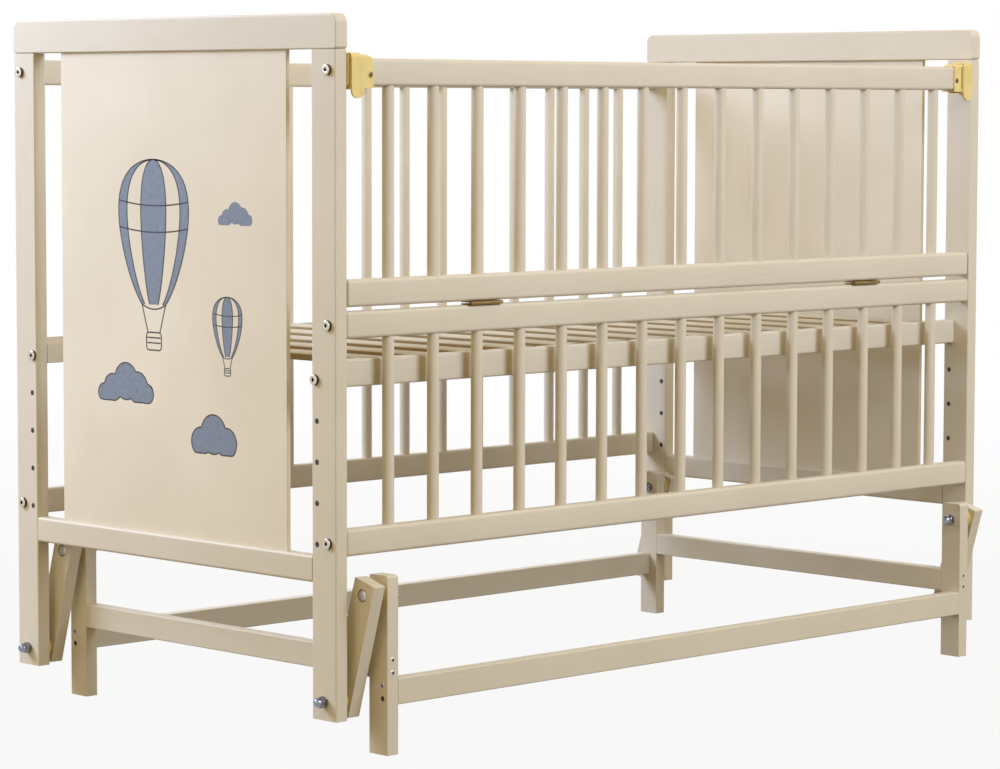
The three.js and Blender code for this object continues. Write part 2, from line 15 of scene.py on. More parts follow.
import bpy
import numpy as np
from mathutils import Euler, Matrix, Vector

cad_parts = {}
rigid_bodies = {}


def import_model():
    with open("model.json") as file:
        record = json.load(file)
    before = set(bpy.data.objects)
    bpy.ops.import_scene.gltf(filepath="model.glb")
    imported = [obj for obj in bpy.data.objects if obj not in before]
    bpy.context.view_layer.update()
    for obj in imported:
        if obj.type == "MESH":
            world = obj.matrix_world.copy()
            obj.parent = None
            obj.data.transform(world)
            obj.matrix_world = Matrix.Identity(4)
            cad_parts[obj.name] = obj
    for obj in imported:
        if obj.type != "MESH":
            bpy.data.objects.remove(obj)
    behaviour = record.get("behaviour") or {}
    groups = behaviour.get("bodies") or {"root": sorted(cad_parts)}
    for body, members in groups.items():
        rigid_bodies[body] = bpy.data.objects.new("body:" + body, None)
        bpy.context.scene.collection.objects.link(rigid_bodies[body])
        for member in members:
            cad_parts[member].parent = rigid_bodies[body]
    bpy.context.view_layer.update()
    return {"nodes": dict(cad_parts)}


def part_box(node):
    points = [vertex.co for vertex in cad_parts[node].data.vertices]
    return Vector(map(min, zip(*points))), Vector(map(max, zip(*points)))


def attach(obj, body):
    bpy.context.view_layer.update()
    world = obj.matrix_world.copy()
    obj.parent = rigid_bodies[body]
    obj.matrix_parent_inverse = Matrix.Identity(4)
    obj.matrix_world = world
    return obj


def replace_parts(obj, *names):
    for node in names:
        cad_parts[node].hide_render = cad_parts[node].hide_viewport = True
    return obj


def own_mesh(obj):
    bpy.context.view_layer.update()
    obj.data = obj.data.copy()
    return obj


for stray in list(bpy.data.objects):
    bpy.data.objects.remove(stray)

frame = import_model()
nodes = frame["nodes"]
MM = 0.001

# %% [markdown]
# ## Measures taken from the construction
#
# New pieces must sit exactly where the construction says, so they are measured from it. A corner of a
# node's box gives a face of that piece, and most places on a crib follow from a few such faces. The
# headboard and all that is named left lie on the minus side of x, and the front on the minus side of y.


# %% Measure the pieces
def low(node):
    """Lowest corner of a node's box, as an array in metres."""
    return np.array(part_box(node)[0])


def high(node):
    """Highest corner of a node's box, as an array in metres."""
    return np.array(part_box(node)[1])


def middle(node):
    """Centre of a node's box."""
    return (low(node) + high(node)) / 2


def extent(node):
    """Length of a node's box along x, y and z."""
    return high(node) - low(node)


def face_of(node, axis, side):
    """Place on an axis, 0 for x and 1 for y, of the node's face on its plus or minus side."""
    return (high(node) if side > 0 else low(node))[axis]


ENDS = (("headboard", -1), ("footboard", 1))
SIDES = (("left", -1), ("right", 1))
CORNERS = ["front_left", "front_right", "rear_left", "rear_right"]
crib_middle_y = middle("headboard_top_board")[1]
post_inner = low("footboard_front_post")[0]
post_outer = high("footboard_front_post")[0]
print("crib middle y", round(crib_middle_y, 4), "clear length in mm", round(2 * post_inner / MM, 1))

# %% [markdown]
# ## Shells from stacked outlines
#
# Bars, rails, bolt heads and nuts all have one thing in common: an outline that is carried along an
# axis while it grows or shrinks. One helper can build them all. It takes a stack of closed outlines as
# one numpy array, joins each outline to the next with four-sided faces, and closes both ends. Several
# such shells can share one mesh, as the bars of a fence do.


# %% Stack outlines into a closed shell
def shell(outlines, bands=None):
    """Points, faces and finish numbers of a closed shell. outlines has shape (rows, columns, 3); point j
    of row i is joined to point j of row i + 1, and the first and last rows are closed by flat faces.
    The bands number the finish between each row and the next, such as the dark inside of a socket."""
    rows, columns = outlines.shape[:2]
    here = np.arange(rows * columns).reshape(rows, columns)
    beside = np.roll(here, -1, axis=1)
    sides = np.stack([here[:-1], beside[:-1], beside[1:], here[1:]], axis=-1).reshape(-1, 4)
    faces = sides.tolist() + [here[0, ::-1].tolist(), here[-1].tolist()]
    bands = [0] * (rows - 1) if bands is None else bands
    finishes = np.repeat(bands, columns).tolist() + [bands[0], bands[-1]]
    return outlines.reshape(-1, 3), faces, finishes


def put_in_scene(name, data):
    """New object at the origin, linked to the scene."""
    made = bpy.data.objects.new(name, data)
    bpy.context.scene.collection.objects.link(made)
    return made


def build(name, shells, finishes, body, sharp=35):
    """One object from several shells that rides on a body, smooth except at edges sharper than the given
    angle in degrees."""
    points, faces, numbers, start = [], [], [], 0
    for shell_points, shell_faces, shell_numbers in shells:
        points.append(shell_points)
        faces += [[start + corner for corner in face] for face in shell_faces]
        numbers += shell_numbers
        start += len(shell_points)
    mesh = bpy.data.meshes.new(name)
    mesh.from_pydata(np.concatenate(points), [], faces)
    mesh.polygons.foreach_set("material_index", numbers)
    mesh.shade_smooth()
    mesh.set_sharp_from_angle(angle=math.radians(sharp))
    for material in finishes:
        mesh.materials.append(material)
    piece = put_in_scene(name, mesh)
    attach(piece, body)
    print(name, "has", len(mesh.vertices), "points on body", body)
    return piece


# %% [markdown]
# Outlines are easiest as complex numbers: a quarter turn is a multiplication by i. The outline then
# has to be laid in space along an axis, which is only a choice of which coordinate is which.


# %% Outlines and how they lie in space
def circle(radius, count=32):
    """Points of radius times e to the power i times angle, once round."""
    return radius * np.exp(2j * np.pi * np.arange(count) / count)


def rounded_box(wide, tall, corner, steps=7):
    """Outline of a rectangle about zero, whose corners are quarter circles set inside it."""
    quarter = corner * np.exp(1j * np.linspace(0, np.pi / 2, steps))
    signs = np.array([1 + 1j, -1 + 1j, -1 - 1j, 1 - 1j])
    centres = (wide / 2 - corner) * signs.real + 1j * (tall / 2 - corner) * signs.imag
    return np.concatenate([centre + quarter * 1j**k for k, centre in enumerate(centres)])


def lay(outline, along, axis):
    """Outline as points at a place along the axis x, y or z. Its real part lies on the next axis in the
    order x, y, z, x, and its imaginary part on the one after, so that it runs round the axis."""
    first = "xyz".index(axis)
    points = np.zeros((len(outline), 3))
    points[:, first] = along
    points[:, (first + 1) % 3] = outline.real
    points[:, (first + 2) % 3] = outline.imag
    return points


def rounded_bar(long, wide, tall, corner, end, axis, steps=5):
    """Bar about the origin whose ends are rounded too: near an end the outline shrinks by
    end * (1 - sin a) while its place moves in by end * (1 - cos a), with a from nearly 0 to a right
    angle."""
    angle = np.linspace(0.02, np.pi / 2, steps)
    inset = end * (1 - np.sin(angle))
    place = long / 2 - end * (1 - np.cos(angle))
    outlines = [rounded_box(wide - 2 * i, tall - 2 * i, corner - i) for i in inset]
    start = [lay(outline, -p, axis) for outline, p in zip(outlines, place)]
    finish = [lay(outline, p, axis) for outline, p in zip(outlines, place)]
    return np.array(start + finish[::-1])


def turned(profile, axis):
    """Stack of circles with the radii and places of the profile's rows."""
    return np.array([lay(circle(radius), along, axis) for radius, along in profile])


print("a rounded bar has", rounded_bar(1, 0.1, 0.1, 0.02, 0.01, "x").shape, "points")

# %% [markdown]
# ## Finishes
#
# A finish is a small network of shader nodes that reads noise. The helpers add a node with its links,
# and turn noise into a colour or a number. The noise lies in Object coordinates, so that it stays in
# place on a piece that moves, and its scale says about how many waves there are to a metre.


# %% Node helpers
def linear(red, green, blue):
    """Screen colour from 0 to 255 to the linear light that shaders use."""
    screen = np.array([red, green, blue]) / 255
    light = np.where(screen <= 0.04045, screen / 12.92, ((screen + 0.055) / 1.055) ** 2.4)
    return (*light.tolist(), 1.0)


def put(tree, socket, value):
    """Links a socket to this input, or sets the input to a value."""
    if isinstance(value, bpy.types.NodeSocket):
        tree.links.new(value, socket)
    else:
        socket.default_value = value


def fill(tree, node, **inputs):
    """Links or sets the inputs that are named, with an underscore for each space."""
    for key, value in inputs.items():
        put(tree, node.inputs[key.replace("_", " ")], value)


def add(tree, kind, settings=None, **inputs):
    """New shader node with these settings, and with its inputs filled."""
    made = tree.nodes.new(kind)
    for key, value in (settings or {}).items():
        setattr(made, key, value)
    fill(tree, made, **inputs)
    return made


def new_material(name):
    """Empty material with its node tree, Principled shader and the object's own coordinates."""
    material = bpy.data.materials.new(name)
    material.use_nodes = True
    tree = material.node_tree
    place = add(tree, "ShaderNodeTexCoord").outputs["Object"]
    return material, tree, tree.nodes["Principled BSDF"], place


def stretched_noise(tree, place, stretch, scale, detail=3.0):
    """Noise in coordinates multiplied by the stretch, so that a small factor makes long streaks."""
    mapping = add(tree, "ShaderNodeMapping", Vector=place, Scale=stretch)
    noise = add(tree, "ShaderNodeTexNoise", Vector=mapping.outputs["Vector"], Scale=scale, Detail=detail)
    return noise.outputs["Fac"]


def tones(tree, factor, dark, light, start=0.3, end=0.7):
    """Colour that runs from dark to light as the factor goes from start to end."""
    ramp = add(tree, "ShaderNodeValToRGB", Fac=factor)
    for element, position, colour in zip(ramp.color_ramp.elements, (start, end), (dark, light)):
        element.position = position
        element.color = colour
    return ramp.outputs["Color"]


def spread(tree, factor, lowest, highest):
    """Number from lowest to highest as the factor goes from 0.25 to 0.75."""
    limits = {"From_Min": 0.25, "From_Max": 0.75, "To_Min": lowest, "To_Max": highest}
    return add(tree, "ShaderNodeMapRange", Value=factor, **limits).outputs["Result"]


def mixture(tree, share, first, second):
    """first * (1 - share) + second * share, for two numbers."""
    return add(tree, "ShaderNodeMix", Factor=share, A=first, B=second).outputs["Result"]


def mixed_colour(tree, share, first, second):
    """The same for two colours, which a Mix node takes at its inputs 6 and 7."""
    made = add(tree, "ShaderNodeMix", {"data_type": "RGBA"})
    for index, value in ((0, share), (6, first), (7, second)):
        put(tree, made.inputs[index], value)
    return made.outputs[2]


def dress(tree, shader, noise, dark, light, smooth, rough):
    """Colour and roughness that follow the same noise."""
    colour, roughness = tones(tree, noise, dark, light), spread(tree, noise, smooth, rough)
    fill(tree, shader, Base_Color=colour, Roughness=roughness)


def emboss(tree, shader, noise, strength, relief):
    """Fine relief that follows a noise, on top of what relief the shader has already."""
    bump = add(tree, "ShaderNodeBump", Strength=strength, Distance=relief, Height=noise)
    below = shader.inputs["Normal"].links
    if below:
        fill(tree, bump, Normal=below[0].from_socket)
    fill(tree, shader, Normal=bump.outputs["Normal"])


print("node helpers ready")

# %% [markdown]
# Painted wood is never one flat colour. Satin paint lies in a thin film with a faint orange peel, the
# fibres of the beech below show as long fine ridges, and the tone drifts a little over a long rail.
# Noise that is stretched along one axis turns into fibres, so there is one paint for each direction in
# which the wood can lie.

# %% Ivory paint in three directions
IVORY_DARK = linear(212, 201, 180)
IVORY_LIGHT = linear(221, 211, 192)
EVEN = (1, 1, 1)
FIBRE_STRETCH = 0.035
DRIFT_SCALE, FIBRE_SCALE, PEEL_SCALE = 6, 420, 700
SATIN_ROUGHNESS = (0.36, 0.46)
PAINT_RELIEF = 0.1 * MM
PEEL_STRENGTH = 0.1


def ivory(name, axis, fibre_share, ridge, gloss=0.3, brightness=1.0):
    """Satin paint over wood with its fibres along the axis. The fibres' share in the tone and the
    strength of their ridges say how much of the wood still shows through the paint, and the brightness
    is a factor on its light."""
    material, tree, shader, place = new_material(name)
    stretch = [FIBRE_STRETCH if each == axis else 1.0 for each in "xyz"]
    drift = stretched_noise(tree, place, EVEN, DRIFT_SCALE)
    peel = stretched_noise(tree, place, EVEN, PEEL_SCALE, 2)
    fibre = stretched_noise(tree, place, stretch, FIBRE_SCALE, 4)
    mixed = mixture(tree, fibre_share, drift, fibre)
    pair = [(*(brightness * part for part in tone[:3]), 1.0) for tone in (IVORY_DARK, IVORY_LIGHT)]
    fill(tree, shader, Base_Color=tones(tree, mixed, *pair), Specular_IOR_Level=gloss)
    fill(tree, shader, Roughness=spread(tree, fibre, *SATIN_ROUGHNESS))
    emboss(tree, shader, fibre, ridge, PAINT_RELIEF)
    emboss(tree, shader, peel, PEEL_STRENGTH, PAINT_RELIEF)
    return material


paint_x = ivory("ivory_paint_fibres_along_x", "x", 0.45, 0.22)
paint_y = ivory("ivory_paint_fibres_along_y", "y", 0.45, 0.22)
paint_z = ivory("ivory_paint_fibres_along_z", "z", 0.45, 0.22)
paint_board = ivory("ivory_paint_on_board", "z", 0.1, 0.03, brightness=1.13)
# The slats' paint is a tenth darker than the other ivory, as painted shade on slats deep in the crib.
paint_slats = ivory("ivory_paint_with_painted_shade_on_slats", "y", 0.5, 0.3, gloss=0.08, brightness=0.9)
print("painted finishes:", [m.name for m in (paint_x, paint_y, paint_z, paint_board, paint_slats)])

# %% [markdown]
# The slats' sides are painted darker and browner than their tops, as painted shade in the gaps between
# the slats. The surface's own direction tells the two apart: its height is 1 on a top face and 0 on a
# side.


# %% Painted shade on the slats' sides
def paint_shade_on_sides(material, side_shade):
    """Colour runs from the painted shade's to the paint's as the face turns from a side to a top."""
    tree = material.node_tree
    colour = tree.nodes["Principled BSDF"].inputs["Base Color"]
    facing = add(tree, "ShaderNodeSeparateXYZ", Vector=add(tree, "ShaderNodeTexCoord").outputs["Normal"])
    share = spread(tree, facing.outputs["Z"], 0.0, 1.0)
    tree.links.new(mixed_colour(tree, share, side_shade, colour.links[0].from_socket), colour)


# The brown is painted shade on the slats' sides.
paint_shade_on_sides(paint_slats, linear(168, 146, 108))
print("bare sides on", paint_slats.name)

# %% [markdown]
# The latches and spacers are moulded plastic. Moulded plastic keeps the grain of its tool, a very
# fine and even roughness, and scatters a little light inside. The metals differ in their scratches:
# plated bolts have short fine ones in all directions, and the brass of the hinges is drawn in one.


# %% Plastic and metals
CLOUD_SCALE, GRAIN_SCALE, SCRATCH_SCALE = 60, 2600, 900
GRAIN_RELIEF = 0.05 * MM
SCRATCH_RELIEF = 0.03 * MM
LIGHT_REACH = (0.004, 0.002, 0.001)


def moulded(name, dark, light):
    """Plastic with a fine even grain and slightly uneven gloss."""
    material, tree, shader, place = new_material(name)
    dress(tree, shader, stretched_noise(tree, place, EVEN, CLOUD_SCALE), dark, light, 0.34, 0.44)
    fill(tree, shader, Subsurface_Weight=0.08, Subsurface_Radius=LIGHT_REACH, Subsurface_Scale=0.5)
    emboss(tree, shader, stretched_noise(tree, place, EVEN, GRAIN_SCALE, 1), 0.15, GRAIN_RELIEF)
    return material


def plated(name, dark, light, smooth, rough, stretch=EVEN, metallic=1.0):
    """Metal whose tone and roughness follow fine scratches. A dull plating is only partly metallic."""
    material, tree, shader, place = new_material(name)
    scratch = stretched_noise(tree, place, stretch, SCRATCH_SCALE, 5)
    dress(tree, shader, scratch, dark, light, smooth, rough)
    fill(tree, shader, Metallic=metallic)
    emboss(tree, shader, scratch, 0.2, SCRATCH_RELIEF)
    return material


yellow = moulded("yellow_plastic", linear(225, 201, 128), linear(235, 212, 143))
# Painted shade for the joint beside each finger plate.
seam_shade = moulded("shade_in_a_seam", linear(112, 82, 38), linear(134, 100, 50))
golden = moulded("golden_plastic", linear(230, 200, 104), linear(241, 216, 128))
nickel = plated("nickel_plate", linear(186, 178, 160), linear(212, 205, 188), 0.16, 0.3)
chrome = plated("bright_plate", linear(96, 98, 108), linear(172, 174, 182), 0.07, 0.16)
brass = plated("dull_brass", linear(112, 90, 52), linear(158, 130, 82), 0.4, 0.55, stretch=(0.05, 1, 1))
steel = plated("zinc_plate", linear(172, 170, 180), linear(202, 200, 208), 0.26, 0.4, metallic=0.6)
# Painted shade and dark reflection for the sides of the bolt heads.
shaded = plated("painted_shade_on_head_sides", linear(62, 50, 30), linear(104, 88, 58), 0.3, 0.44)
# Painted shade for socket floors and for the insides of holes.
hole_shade = moulded("painted_shade_in_holes", linear(34, 30, 26), linear(46, 41, 35))
print("plastics and metals:", [m.name for m in (yellow, golden, hole_shade, nickel, chrome, brass, steel)])

# %% [markdown]
# ## Soft edges on the construction's own pieces
#
# Posts, boards and links already have the right shape, so they stay, and only get a finish. A sharp
# edge catches no light, and on real painted wood every edge is broken by a file and thickened by paint.
# Three modifiers do that without touching the mesh: Weld joins the loose triangles, Bevel rounds the
# edges that turn by more than fifty or sixty degrees, and Weighted Normal keeps the flat faces flat in
# the shading. A tiny group of geometry nodes before the last of them asks for smooth shading.


# %% Soften and finish the construction's nodes
def smooth_group():
    """Geometry nodes that shade every face smooth."""
    group = bpy.data.node_groups.new("smooth_faces", "GeometryNodeTree")
    for way in ("INPUT", "OUTPUT"):
        group.interface.new_socket("Geometry", in_out=way, socket_type="NodeSocketGeometry")
    entry = group.nodes.new("NodeGroupInput")
    smooth = group.nodes.new("GeometryNodeSetShadeSmooth")
    leave = group.nodes.new("NodeGroupOutput")
    group.links.new(entry.outputs[0], smooth.inputs["Geometry"])
    group.links.new(smooth.outputs[0], leave.inputs[0])
    return group


WELD_REACH = 0.01 * MM
smooth_faces = smooth_group()


def soften(node, material, edge, segments=3, angle=50):
    """Gives a construction node its finish and, by modifiers alone, rounded and welded edges."""
    piece = nodes[node]
    piece.data.materials.clear()
    piece.data.materials.append(material)
    piece.modifiers.new("weld", "WELD").merge_threshold = WELD_REACH
    bevel = piece.modifiers.new("edges", "BEVEL")
    bevel.width = edge
    bevel.segments = segments
    bevel.limit_method = "ANGLE"
    bevel.angle_limit = math.radians(angle)
    bevel.use_clamp_overlap = True
    piece.modifiers.new("smooth", "NODES").node_group = smooth_faces
    piece.modifiers.new("weighted", "WEIGHTED_NORMAL").keep_sharp = False


for end in ("headboard", "footboard"):
    soften(end + "_top_board", paint_y, edge=0.6 * MM, angle=60)
    soften(end + "_panel", paint_board, edge=0.5 * MM)
    soften(end + "_bottom_rail", paint_y, edge=0.8 * MM, angle=60)
    for side in ("front", "rear"):
        soften(f"{end}_{side}_post", paint_z, edge=0.9 * MM)
for corner in CORNERS:
    soften(corner + "_leg", paint_z, edge=1.5 * MM)
    soften(corner + "_link", paint_z, edge=1.5 * MM)
for side in ("left", "right"):
    soften(side + "_cross_rail", paint_y, edge=0.8 * MM, angle=60)
for side in ("front", "rear"):
    soften(side + "_long_rail", paint_x, edge=0.8 * MM, angle=60)
soften("mattress_base_rear_rail", paint_x, edge=1.0 * MM)
print("softened", sum(1 for piece in nodes.values() if piece.modifiers), "wooden nodes")

# %% [markdown]
# The hardware gets the same treatment with smaller edges: moulded plastic has edges of about a third
# of a millimetre, and pressed brass and turned steel even less.

# %% Finish the hardware's nodes
for side in ("left", "right"):
    for part in ("keeper", "housing", "slider"):
        soften(f"{side}_latch_{part}", yellow, edge=0.35 * MM)
    for part in ("lower_leaf", "upper_leaf", "pin"):
        soften(f"{side}_hinge_{part}", brass, edge=0.15 * MM, segments=2)
for corner in CORNERS:
    for level in ("upper", "lower"):
        soften(f"{corner}_{level}_spacer", golden, edge=0.4 * MM)
print("finished", sum(1 for piece in nodes.values() if piece.modifiers), "nodes in all")

# %% [markdown]
# ## Round bars and their rails
#
# The construction's bars have ten flat sides, which is enough to carry a load in a simulation but not
# to shine like a turned bar. Each side is remade from its own measures as three pieces: the low rail,
# the bars, whose fibres run upwards, and the top rail. The bars stand at equal steps, so the step is
# the clear length between the posts divided by one more than their number.

# %% Measures of a barred side
BAR_COUNT = 15
BAR_RADIUS = 7.5 * MM
RAIL_CORNER = 4.5 * MM
RAIL_END = 3 * MM
bar_step = 2 * post_inner / (BAR_COUNT + 1)
bar_places = (np.arange(BAR_COUNT) - (BAR_COUNT - 1) / 2) * bar_step
rail_tall = extent("rear_side_top_rail")[2]
print("bars every", round(bar_step / MM, 2), "mm, rails", round(rail_tall / MM, 1), "mm tall")

# %% [markdown]
# A bar is no more than two circles joined by a wall. It ends in the middle of each rail, so its end
# faces never show.


# %% Build the three barred sides
def rail_shell(node, base):
    """Rounded bar that fills a rail's length and thickness, standing on the given height."""
    long, thick, _ = extent(node)
    shape = rounded_bar(long, thick, rail_tall, RAIL_CORNER, RAIL_END, "x")
    return shell(shape + [*middle(node)[:2], base + rail_tall / 2])


def bar_shell(x, y, start, finish):
    """Round bar from one height to another, with its ends hidden in the rails."""
    return shell(turned([(BAR_RADIUS, start), (BAR_RADIUS, finish)], "z") + [x, y, 0])


def barred_side(name, body):
    """The low rail, the bars and the top rail of a side, in place of the construction's two pieces."""
    comb, top = name + "_low_rail_and_bars", name + "_top_rail"
    low_base, top_base = low(comb)[2], low(top)[2]
    start, finish = low_base + rail_tall / 2, top_base + rail_tall / 2
    bars = [bar_shell(x, middle(comb)[1], start, finish) for x in bar_places]
    low_rail, top_rail = rail_shell(comb, low_base), rail_shell(top, top_base)
    fence = build(name + "_rail_with_round_bars", [low_rail], [paint_x], body)
    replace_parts(fence, comb)
    build(name + "_round_bars", bars, [paint_z], body)
    rail = build(name + "_rounded_top_rail", [top_rail], [paint_x], body)
    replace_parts(rail, top)


barred_side("rear_side", "crib")
barred_side("front_side", "crib")
barred_side("gate", "gate")

# %% [markdown]
# The mattress lies on slats that rest in a step of each bed rail. Their long edges are planed round, so
# each slat looks narrower than it is: the flat top begins only after the curve. The slats stand at
# equal steps between two end gaps, like the bars.

# %% Build the front bed rail with its slats
SLAT_COUNT = 13
SLAT_WIDE = 55 * MM
SLAT_FLAT = 44 * MM
SLAT_THICK = 9 * MM
SLAT_CORNER = 2 * MM
SLAT_END = 0.8 * MM
SLAT_END_GAP = 50.5 * MM
BED_RAIL_THICK = 18 * MM
BED_RAIL_CORNER = 3 * MM
BED_RAIL_END = 1 * MM
slatted = "mattress_base_front_rail_and_slats"
slat_step = (2 * post_inner - 2 * SLAT_END_GAP - SLAT_WIDE) / (SLAT_COUNT - 1)
slat_places = (np.arange(SLAT_COUNT) - (SLAT_COUNT - 1) / 2) * slat_step
bed_low, bed_high = low(slatted), high(slatted)
bed_rail_y = bed_low[1] + BED_RAIL_THICK / 2
slat_long = bed_high[1] - bed_rail_y
one_slat = rounded_bar(slat_long, SLAT_THICK, SLAT_FLAT, SLAT_CORNER, SLAT_END, "y")
slat_centre = [bed_rail_y + slat_long / 2, bed_high[2] - SLAT_THICK / 2]
slats = [shell(one_slat + [x, *slat_centre]) for x in slat_places]
build("mattress_base_slats", slats, [paint_slats], "crib")
bed_long, _, bed_tall = extent(slatted)
bed_rail = rounded_bar(bed_long, BED_RAIL_THICK, bed_tall, BED_RAIL_CORNER, BED_RAIL_END, "x")
bed_rail += [0, bed_rail_y, middle(slatted)[2]]
front_rail = build("mattress_base_front_rail", [shell(bed_rail)], [paint_x], "crib")
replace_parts(front_rail, slatted)
print("slats every", round(slat_step / MM, 2), "mm")

# %% [markdown]
# ## Connector bolts
#
# Each rail is held by a bolt through the post, whose round head shows on the outer face with a hexagon
# socket in it. The head is a stack of circles. For the socket, the outline changes on its way in from a
# circle to a hexagon, and then goes down into the head, so head and socket are one surface. The side of
# the head is painted browner than its face, as painted shade and dark reflection under the head.

# %% One bolt head
HEAD_RADIUS = 6.6 * MM
HEAD_TALL = 4.2 * MM
HEAD_SIDE = 2.9 * MM
SOCKET_RADIUS = 2.6 * MM
SOCKET_DEEP = 2.4 * MM
SOCKET_RIM = 1.25
SOCKET_RIM_HEIGHT = 0.97
SOCKET_TAPER = 0.96
EDGE_POINTS = 36


def round_edge(radius):
    """Circle with as many points as the hexagon below."""
    return circle(radius, EDGE_POINTS)


def hexagon(radius):
    """Points on a regular hexagon at equal angles: a side's distance divided by the cosine of the
    angle from that side's middle."""
    angle = 2 * np.pi * np.arange(EDGE_POINTS) / EDGE_POINTS
    from_side = (angle + np.pi / 6) % (np.pi / 3) - np.pi / 6
    return radius * np.cos(np.pi / 6) / np.cos(from_side) * np.exp(1j * angle)


def bolt_head_rows():
    """Outline and height of each row: the straight side, a quarter circle over the edge, the face, and
    down into the socket."""
    edge = HEAD_TALL - HEAD_SIDE
    rows = [(round_edge(HEAD_RADIUS), 0.0)]
    for a in np.linspace(0, np.pi / 2, 6):
        rows.append((round_edge(HEAD_RADIUS - edge * (1 - np.cos(a))), HEAD_SIDE + edge * np.sin(a)))
    rows.append((round_edge(SOCKET_RADIUS * SOCKET_RIM), HEAD_TALL))
    rows.append((hexagon(SOCKET_RADIUS), HEAD_TALL * SOCKET_RIM_HEIGHT))
    rows.append((hexagon(SOCKET_RADIUS * SOCKET_TAPER), HEAD_TALL - SOCKET_DEEP))
    return rows


# The side of a head gets painted shade, the face plain plating, and the socket's floor painted shade.
SHADED_SIDE, BRIGHT_FACE, SOCKET_SHADE = 2, 0, 1
HEAD_BANDS = [SHADED_SIDE] * 2 + [BRIGHT_FACE] * 6 + [SOCKET_SHADE]


def fastener(rows, axis, direction, place, bands=None):
    """Shell of rows made along +x, that points along plus or minus the axis x or y from its place."""
    points = np.array([lay(outline, along, "x") for outline, along in rows])
    turn = {"x": 0.0, "y": np.pi / 2}[axis] + (0.0 if direction > 0 else np.pi)
    across, back = np.cos(turn), np.sin(turn)
    return shell(points @ np.array([[across, back, 0], [-back, across, 0], [0, 0, 1]]) + place, bands)


def bolt_head(x_side, y, z):
    """Dome on a post's outer face, at that place."""
    return fastener(bolt_head_rows(), "x", x_side, (x_side * post_outer, y, z), HEAD_BANDS)


print("a bolt head has", len(HEAD_BANDS) + 1, "rows of", EDGE_POINTS, "points")

# %% [markdown]
# Each post has a bolt at the middle of every rail that ends on it, and one for the bed rail. The front
# posts have one more, level with the top rail of the rear side.

# %% All the bolt heads on the posts
RAIL_BOLT_INSET = 14 * MM
BED_BOLT_INSET = 37.5 * MM
BED_BOLT_RISE = 11 * MM
BOLTED_RAILS = {
    "front": ("front_side_low_rail_and_bars", "front_side_top_rail", "rear_side_top_rail"),
    "rear": ("rear_side_low_rail_and_bars", "rear_side_top_rail"),
}
bed_bolt_z = bed_low[2] + BED_BOLT_RISE
for end, x_side in ENDS:
    for side, y_side in (("front", -1), ("rear", 1)):
        edge = face_of(f"{end}_{side}_post", 1, y_side)
        rail_y = edge - y_side * RAIL_BOLT_INSET
        heads = [bolt_head(x_side, rail_y, low(rail)[2] + rail_tall / 2) for rail in BOLTED_RAILS[side]]
        heads.append(bolt_head(x_side, edge - y_side * BED_BOLT_INSET, bed_bolt_z))
        build(f"{end}_{side}_connector_bolts", heads, [nickel, hole_shade, shaded], "crib")

# %% [markdown]
# The mattress base can hang at five heights. The four holes that are not in use hold threaded inserts,
# and so does the hole for the dowel of each long rail. All that shows is a disc a little way in, painted
# dark as the shade inside the hole, so a plain turned plug will do.


# %% Inserts with painted shade in the spare holes
HEIGHT_PITCH = 50.4 * MM
HEIGHT_COUNT = 5
HOLE_RADIUS = 3.5 * MM
INSERT_DEPTH = 0.7 * MM


def insert(x_side, from_x, to_x, y, z):
    """Plug between two places along x, each measured outwards from the middle of the crib."""
    places = sorted((x_side * from_x, x_side * to_x))
    return shell(turned([(HOLE_RADIUS, place) for place in places], "x") + [0, y, z])


rear_bed_rail_y = middle("mattress_base_rear_rail")[1]
spare_heights = bed_bolt_z - np.arange(1, HEIGHT_COUNT) * HEIGHT_PITCH
from_x, to_x = post_inner + INSERT_DEPTH, post_outer - INSERT_DEPTH
for end, x_side in ENDS:
    for side, y in (("front", bed_rail_y), ("rear", rear_bed_rail_y)):
        # Each plug is painted dark as the shade inside its hole.
        plugs = [insert(x_side, from_x, to_x, y, z) for z in spare_heights]
        build(f"{end}_{side}_height_inserts", plugs, [hole_shade], "crib")

# %% [markdown]
# ## Pivot bolts
#
# A link turns on a bolt with a hexagon head sunk into the wood, and the far end of the bolt is closed by
# a dome nut so that nothing sharp sticks out. The corners of a head and of a nut are taken off by a
# turning tool, which leaves the curved edges that everyone knows from real bolts. That cut is easy to
# write: the outline is a hexagon, but nowhere farther out than a circle that grows from row to row. Its
# rows are pairs of shares, of the width across the flats and of the height.

# %% Hexagon head and dome nut
ACROSS_FLATS = 13 * MM
BOLT_HEAD_TALL = 5.3 * MM
SHANK_RADIUS = 4 * MM
NUT_TALL = 8 * MM
DOME_RADIUS = 6.2 * MM
DOME_FULLNESS = 0.55
DOME_TALL = 7 * MM
DOME_ROWS, DOME_TOP = 14, 0.995
GROOVE = 0.5 * MM
HEAD_CUT = [(0.46, 0.0), (0.5, 0.05), (1.0, 0.2), (1.0, 1.0)]
NUT_CUT = [(0.48, 0.0), (1.0, 0.1), (1.0, 0.85), (0.5, 0.97)]


def turned_hexagon(limit):
    """Hexagon whose points lie no farther out than the limit."""
    outline = hexagon(ACROSS_FLATS / 2 / np.cos(np.pi / 6))
    return outline * np.minimum(1, limit / np.abs(outline))


def hex_head_rows(grip):
    """Head from its outer face at zero, and the shank that runs through what the bolt grips."""
    rows = [(turned_hexagon(ACROSS_FLATS * limit), BOLT_HEAD_TALL * rise) for limit, rise in HEAD_CUT]
    shank_end = BOLT_HEAD_TALL + grip + NUT_TALL / 2
    return rows + [(round_edge(SHANK_RADIUS), along) for along in (BOLT_HEAD_TALL, shank_end)]


